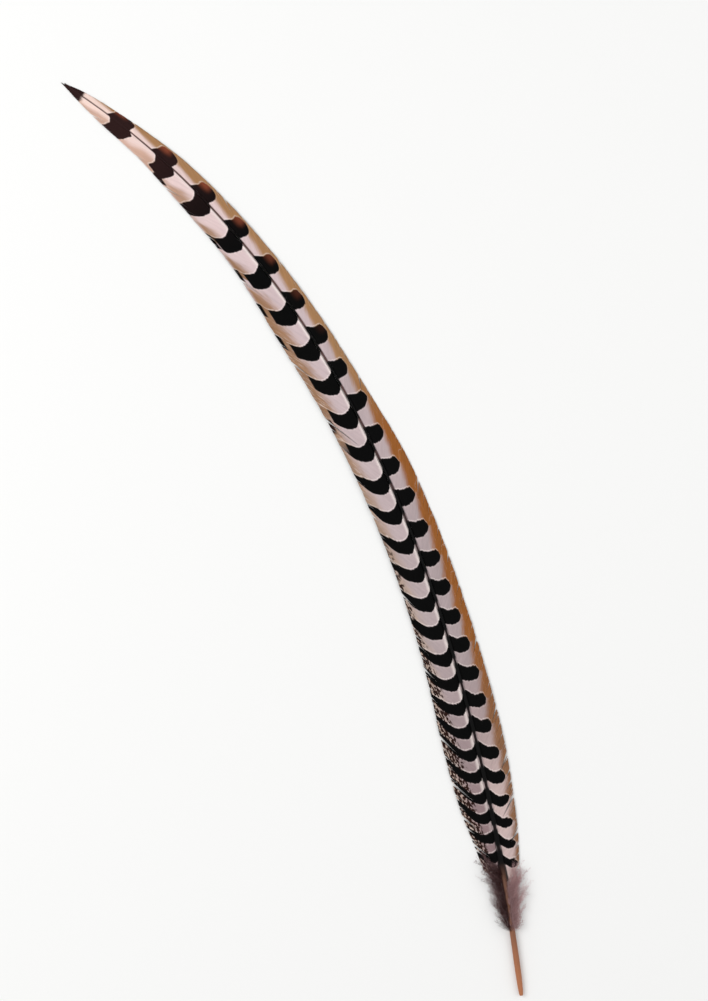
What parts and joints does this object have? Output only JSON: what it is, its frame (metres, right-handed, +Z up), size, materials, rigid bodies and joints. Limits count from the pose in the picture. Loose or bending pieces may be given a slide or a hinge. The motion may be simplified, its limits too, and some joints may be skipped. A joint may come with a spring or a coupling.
{
  "type": "pheasant tail feather",
  "caption": "Long pointed tail feather of a pheasant: a curved shaft with a bare quill end, two unequal vanes with parted barbs, and down locks at the foot of the vane.",
  "frame": {"origin": "middle of the feather's box in plan, on the surface that it lies on", "axes": "+Y along the straight line from the quill's end to the tip, +Z up out of the upper side, +X the side to which the shaft bows"},
  "size_m": [0.1077, 0.7742, 0.0079],
  "materials": {
    "barbs": "satin",
    "quill": "satin"
  },
  "bodies": {
    "root": {"feather": "barbs"}
  },
  "joints": []
}
